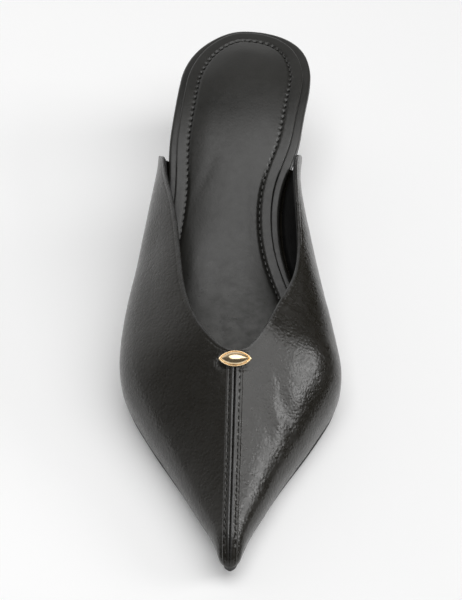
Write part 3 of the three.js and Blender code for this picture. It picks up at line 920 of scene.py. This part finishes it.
def sock():
    """Padded sock lining: close rings over its edge and the stitch line, then on to the spine."""
    outline = Outline(
        lambda side, t: seat_half(side, t, RAND) * round_end(SOCK_END_AT - t, TOE_ROUND),
        RAND, SOCK_END_AT, 560, 26)
    x, t = outline.ring(STITCH_INSET)
    around = run_length(np.stack((x, t), -1))
    under = lambda x, t: board_under(t) + BOARD + SOCK_LIFT
    rings = [(6, 1, under), (1, 0, under), (0.12, 0, under)]
    border = (0, 0.05, 0.18, 0.4, SOCK_EDGE, *np.arange(1.2, 3.4, 0.6))
    line = np.arange(3.6, 6.5, 0.24)
    for inset in (*border, *line, 6.9, 7.7, 8.8, 10.2, 12.0):
        rings.append((inset, 0, sock_height(inset, around)))
    for share in np.linspace(0, 1, 8)[1:]:
        rings.append((12.0, share, sock_height(12.0 + 8 * share, around)))
    shape = plate(outline, rings)
    x, t = shape[..., 0] - TOE_OFFSET, LENGTH / 2 - shape[..., 1]
    inset = np.array([ring[0] for ring in rings])[:, None]
    # Painted sheen: pale lightens the padding's colour over the forepart, standing in for its
    # glossy reflection, and goes to the material as the edge value.
    pale = PAINTED_SHEEN * bell(t, 152, 34) * ease(inset, 5, 9) * ease(x, -26, -4)
    made = piece("sock_pad", [shape], SOCK_LEATHER, replaces=["sock"], edge=pale.ravel())
    return outline, around


def sock_stitches(outline, around):
    """Stitches round the padding, as far forward as the vamp lets them be seen."""
    x, t = outline.ring(STITCH_INSET)
    line = place(x, t, sock_height(STITCH_INSET, around)(x, t))
    slope = board_under(t + 0.5) - board_under(t - 0.5)
    normal = unit(np.stack((0 * t, slope, np.ones_like(t)), -1))
    stops = np.arange(STITCH_PITCH, around[-1], STITCH_PITCH)
    stops = stops[np.interp(stops, around, t) < THROAT_AT + 30]
    stitches("sock_stitches", [(line, normal, around, stops)], 1.6, 0.10)


WAIST_INSET = 2.4      # of the sole's edge, inside the upper
WELT = 0.3             # how far it stands out at the ball
TOE_INSET = 0.8
TOE_SET_BACK = 1.2
WAIST_AT = 95.0
BALL_AT = 150.0
TOE_AT = 200.0
UNDERCUT = 2.0         # of the tread, inside the top of the edge
CHANNEL = 5.4          # groove round the underside, from the edge
CHANNEL_DEEP = 0.35


def outsole():
    """Outsole from the heel breast to the toe. Its edge slopes in to a narrower tread, with soft
    corners, and has a shallow groove underneath."""
    to = LENGTH - TOE_SET_BACK

    def half(side, t):
        out = mix(-WAIST_INSET, WELT, np.clip((t - WAIST_AT) / (BALL_AT - WAIST_AT), 0, 1))
        back = (WELT + TOE_INSET) * np.clip((t - TOE_AT) / (LENGTH - TOE_AT), 0, 1)
        return (foot_half(side, t) + out - back) * round_end(to - t, TIP_ROUND / 2)

    outline = Outline(half, BREAST_AT + 1, to, 170, 8, straight=24)
    top = lambda t: board_under(t) - GAP
    low = lambda t: np.maximum(0, top(t) - SOLE)
    under = lambda x, t: low(t)
    groove = lambda x, t: low(t) + CHANNEL_DEEP * ease(to - t, 0, 10)
    over = lambda x, t: top(t)
    rings = [(UNDERCUT + 8, 1, under), (UNDERCUT + 7, 0, under), (CHANNEL, 0, under),
             (CHANNEL - 0.25, 0, groove), (CHANNEL - 0.55, 0, groove), (CHANNEL - 0.8, 0, under)]
    rings += rounded_side(low, top, 0.4, 4, UNDERCUT) + [(3, 0, over), (6, 1, over)]
    shape = plate(outline, rings)
    piece("sole_unit", [shape], SOLE_BLACK, replaces=["outsole"], sharp=50)


# ---- Heel
TIP_HEIGHT = 5.5
TIP_WIDTH = 12.0
TIP_DEPTH = 13.0
TIP_SHIFT = 1.4        # off the toe line
TIP_BACK = 8.0         # how far forward of the seat's back it stands
TIP_LIP = 0.6          # how much wider than the cover it is
COVER_INSET = 0.4
HEEL_POINTS = 260


def heel_outline():
    """The seat drawn in by a hair and closed along the breast, with evenly spaced points and its
    corners softened by a running mean."""
    share = (1 - np.cos(np.pi * np.arange(81) / 80)) / 2
    t = mix(2 * COVER_INSET, BREAST_AT, share)
    lateral = np.stack((-seat_half(LATERAL, t, COVER_INSET), t), -1)[::-1]
    medial = np.stack((seat_half(MEDIAL, t, COVER_INSET), t), -1)[1:]
    loop = np.concatenate((lateral, medial, lateral[:1]))
    walk = run_length(loop)
    even = np.linspace(0, walk[-1], HEEL_POINTS, endpoint=False)
    x, t = (np.interp(even, walk, loop[:, k]) for k in range(2))
    window = np.arange(-4, 5)
    return (sum(np.roll(v, s) for s in window) / len(window) for v in (x, t))


def heel_ring(x, t, share, z, grow, inset):
    """The outline drawn in towards the tip: wide at the seat and hollow at the back, where share
    runs from the seat (0) to the tip (1). inset takes a little off all round."""
    seat = seat_half(LATERAL, SEAT_ROUND, 0) + seat_half(MEDIAL, SEAT_ROUND, 0)
    narrow = (1 - share) ** 2.6
    wide = mix((TIP_WIDTH + grow - 2 * inset) / seat, 1 - 2 * inset / seat, narrow)
    deep = mix((TIP_DEPTH + grow - 2 * inset) / BREAST_AT, 1 - 2 * inset / BREAST_AT, narrow)
    back = TIP_BACK * (1 - (1 - share) ** 1.5) - grow / 2 + inset
    ring = place(TIP_SHIFT + (x - TIP_SHIFT) * wide, back + t * deep, z)
    return np.concatenate((ring, ring[:1]))


def heel_body(shares, top, bottom, grow, radius):
    """Rings from the top face to the bottom one with rounded rims, closed by shrinking each face
    to its middle. shares: how far towards the tip's size the top and the bottom are."""
    x, t = heel_outline()
    top = top(t)
    first, last = shares
    turn = np.linspace(np.pi / 2, 0, 5)[:-1]
    rows = []
    for a in turn:
        z = top - radius * (1 - np.sin(a))
        rows.append(heel_ring(x, t, first, z, grow, radius * (1 - np.cos(a))))
    for q in np.linspace(0, 1, 41):
        z = mix(top - radius, bottom + radius, q)
        rows.append(heel_ring(x, t, mix(first, last, q), z, grow, 0))
    for a in turn[::-1]:
        z = bottom + radius * (1 - np.sin(a))
        rows.append(heel_ring(x, t, last, z, grow, radius * (1 - np.cos(a))))

    def face(row):
        return [mix(row, row[:-1].mean(0), s) for s in (1.0, 0.66, 0.33)]

    return np.stack(face(rows[0]) + rows + face(rows[-1])[::-1])


def heel():
    """Leather-covered heel and, under it, its moulded tip."""
    cover = heel_body((0, 1), lambda t: board_under(t) - GAP, TIP_HEIGHT + GAP, 0, 0.35)
    piece("heel_cover", [cover], UPPER_LEATHER, replaces=["heel"])
    tip = heel_body((1, 1), lambda t: TIP_HEIGHT, 0, TIP_LIP, 0.4)
    piece("heel_tip", [tip], SOLE_BLACK, replaces=["top_piece"])


# ---- Bead over the seam
BEAD_HIGH = 2.4
BEAD_BASE = 0.35
RIM_HIGH = 0.42        # over the base
RIM_AT = 0.93          # middle of its rim, as a share of the way out
RIM_HALF = 0.07


def bead():
    """Pointed oval: x goes as the cosine and y as the sine to the power 1.5. A thin round rim,
    a narrow valley, and a dome whose profile is a quarter ellipse."""
    angle = np.linspace(0, 2 * np.pi, 241)
    x = BEAD_LONG / 2 * np.cos(angle)
    y = BEAD_WIDE / 2 * np.sign(np.sin(angle)) * np.abs(np.sin(angle)) ** 1.5
    valley = RIM_AT - RIM_HALF
    out = np.concatenate((np.sin(np.linspace(0, np.pi / 2, 16)) * valley,
                          RIM_AT - RIM_HALF * np.cos(np.linspace(0.15, np.pi, 12))))
    dome = (BEAD_HIGH - BEAD_BASE) * np.sqrt(np.clip(1 - (out / valley) ** 2, 0, 1))
    rim = RIM_HIGH * np.sqrt(np.clip(1 - ((out - RIM_AT) / RIM_HALF) ** 2, 0, 1))
    height = BEAD_BASE + np.where(out <= valley, dome, rim)
    out = np.concatenate((out, [1.0, 0.97, 0.0]))[:, None]
    z = np.concatenate((height, [0.1, 0.0, 0.0]))[:, None] + 0 * x
    at = THROAT_AT + BEAD_BEHIND
    tilt = np.arctan((crest(at - 2) - crest(at + 2)) / 4)
    turned = np.stack((out * x, out * y * np.cos(tilt) - z * np.sin(tilt),
                       out * y * np.sin(tilt) + z * np.cos(tilt)), -1)
    seat = place(seam_x(at), at, crest(at) + GAP)
    piece("bead", [turned + seat], PALE_GOLD, replaces=["trim"])


outer, normal = {}, {}
for quarter_side in (LATERAL, MEDIAL):
    outer[quarter_side], normal[quarter_side] = quarter(quarter_side)
lining()
seam_stitches(outer, normal)
insole()
sock_stitches(*sock())
outsole()
heel()
bead()


# ---- Floor, light and camera
FLOOR_GLOW = (0.25, 0.04)       # near the shoe, on its left and on its right
ROOM_DIM = 0.10                 # strength of the room where it is dark
ROOM_PALE = 0.84                # and how much more where it is pale
WALL_SEEN = 0.85


def set_piece(name, grid, faces, colour, rough, specular):
    """A piece of the set, from a grid of points in metres, in one flat finish."""
    mesh = bpy.data.meshes.new(name)
    mesh.from_pydata(grid.reshape(-1, 3).tolist(), [], faces.tolist())
    material, tree, shader, where = new_material(name, (colour, colour, colour))
    shader.inputs["Roughness"].default_value = rough
    shader.inputs["Specular IOR Level"].default_value = specular
    mesh.materials.append(material)
    return add_object(name, mesh), tree, shader, where


def studio_floor():
    """Pale matt floor, a wide flat disc a hair under the soles, which glows where the softboxes
    no longer reach."""
    angle = np.linspace(0, 2 * np.pi, 65)
    out = np.array([0.0, 1.0, 6.0])[:, None]
    grid = np.stack((out * np.cos(angle), out * np.sin(angle), 0 * out * angle - 0.00005), -1)
    faces = grid_faces(*grid.shape[:2], 0)[:, ::-1]
    floor, tree, shader, where = set_piece("studio_floor", grid, faces, 0.86, 0.9, 0.1)
    away = node(tree, "ShaderNodeVectorMath", {0: where}, operation="LENGTH").outputs["Value"]
    far = spread(tree, away, 0.4, 1.6, 0.0, 0.6)
    across = node(tree, "ShaderNodeSeparateXYZ", {"Vector": where}).outputs["X"]
    near = spread(tree, across, -0.2, 0.2, *FLOOR_GLOW)
    tree.links.new(maths(tree, "MAXIMUM", far, near), shader.inputs["Emission Color"])
    shader.inputs["Emission Strength"].default_value = 1.0


def softbox(name, at, aim, wide, deep, radiance):
    """Area light of an even radiance, facing a point."""
    lamp = bpy.data.lights.new(name, "AREA")
    lamp.shape = "RECTANGLE"
    lamp.size = wide
    lamp.size_y = deep
    lamp.energy = radiance * np.pi * wide * deep
    made = add_object(name, lamp)
    made.location = at
    made.rotation_euler = (Vector(aim) - Vector(at)).to_track_quat("-Z", "Y").to_euler()


def backdrop():
    """The room that the shoe mirrors: pale low down behind it and on its left, dim overhead and
    on its right. The camera itself sees an even pale wall."""
    world = bpy.data.worlds.new("studio")
    world.use_nodes = True
    tree = world.node_tree
    way = node(tree, "ShaderNodeTexCoord").outputs["Generated"]
    ahead = node(tree, "ShaderNodeSeparateXYZ", {"Vector": way}).outputs
    behind = soft_step(tree, ahead["Y"], -0.35, 0.75)
    low = soft_step(tree, ahead["Z"], 1.1, 0.25)
    left = soft_step(tree, ahead["X"], 0.6, 0.1)
    pale = maths(tree, "MULTIPLY", maths(tree, "MULTIPLY", behind, low), left)
    room = tree.nodes["Background"]
    strength = maths(tree, "MULTIPLY_ADD", pale, ROOM_PALE, ROOM_DIM)
    tree.links.new(strength, room.inputs["Strength"])
    seen = node(tree, "ShaderNodeBackground", {"Strength": WALL_SEEN})
    for background in (room, seen):
        background.inputs["Color"].default_value = (1, 1, 1, 1)
    straight = node(tree, "ShaderNodeLightPath").outputs["Is Camera Ray"]
    ways = {0: straight, 1: room.outputs[0], 2: seen.outputs[0]}
    both = node(tree, "ShaderNodeMixShader", ways).outputs[0]
    tree.links.new(both, tree.nodes["World Output"].inputs["Surface"])
    bpy.context.scene.world = world


def soft_step(tree, value, low, high):
    """0 at low and 1 at high with the smooth cubic between them."""
    inputs = {"Value": value, "From Min": low, "From Max": high}
    step = node(tree, "ShaderNodeMapRange", inputs, interpolation_type="SMOOTHSTEP")
    return step.outputs["Result"]


def flag():
    """Black card that stands beside the shoe, out of the frame, for its inner side to mirror. It
    casts no shadow and the camera does not see it."""
    along = np.array([-0.128, -0.06, 0.0, 0.11])
    tall = np.array([0.030, 0.044, 0.050, 0.046])
    near = np.stack((0 * along + 0.112, along, tall), -1)
    grid = np.stack((near * (1, 1, 0), near, near + (0.07, 0, 0)))
    card = set_piece("flag_card", grid, grid_faces(*grid.shape[:2], 0), 0.004, 1.0, 0.0)[0]
    card.visible_camera = False
    card.visible_diffuse = False
    card.visible_shadow = False


def studio():
    """Set and lights."""
    studio_floor()
    backdrop()
    flag()
    softbox("softbox_top", (0.65, -0.15, 1.35), (0.65, -0.15, 0.0), 2.2, 1.2, 2.5)
    softbox("softbox_right", (1.5, 0.07, 0.73), (0.0, 0.0, 0.03), 0.66, 0.44, 7.0)
    bpy.context.scene.view_settings.view_transform = "Standard"


LENS = 215.8           # focal length, mm
CAMERA_AT = (0.0519, -0.9790, 1.0236)
ELEVATION = 45.5       # of the view, degrees
PAN = -0.03718         # slope of the aim, off the view that looks straight along the shoe
DIP = -0.004882        # and downwards


def camera():
    """Looks down along the shoe from in front of the toe, from beside a second shoe's place."""
    made = add_object("camera", bpy.data.cameras.new("camera"))
    made.data.lens = LENS
    made.location = CAMERA_AT
    angle = np.radians(ELEVATION)
    forward = Vector((0, np.cos(angle), -np.sin(angle)))
    up = Vector((0, np.sin(angle), np.cos(angle)))
    aim = forward + PAN * Vector((1, 0, 0)) + DIP * up
    level = forward.to_track_quat("-Z", "Y")
    made.rotation_euler = (forward.rotation_difference(aim) @ level).to_euler()
    bpy.context.scene.camera = made


studio()
camera()
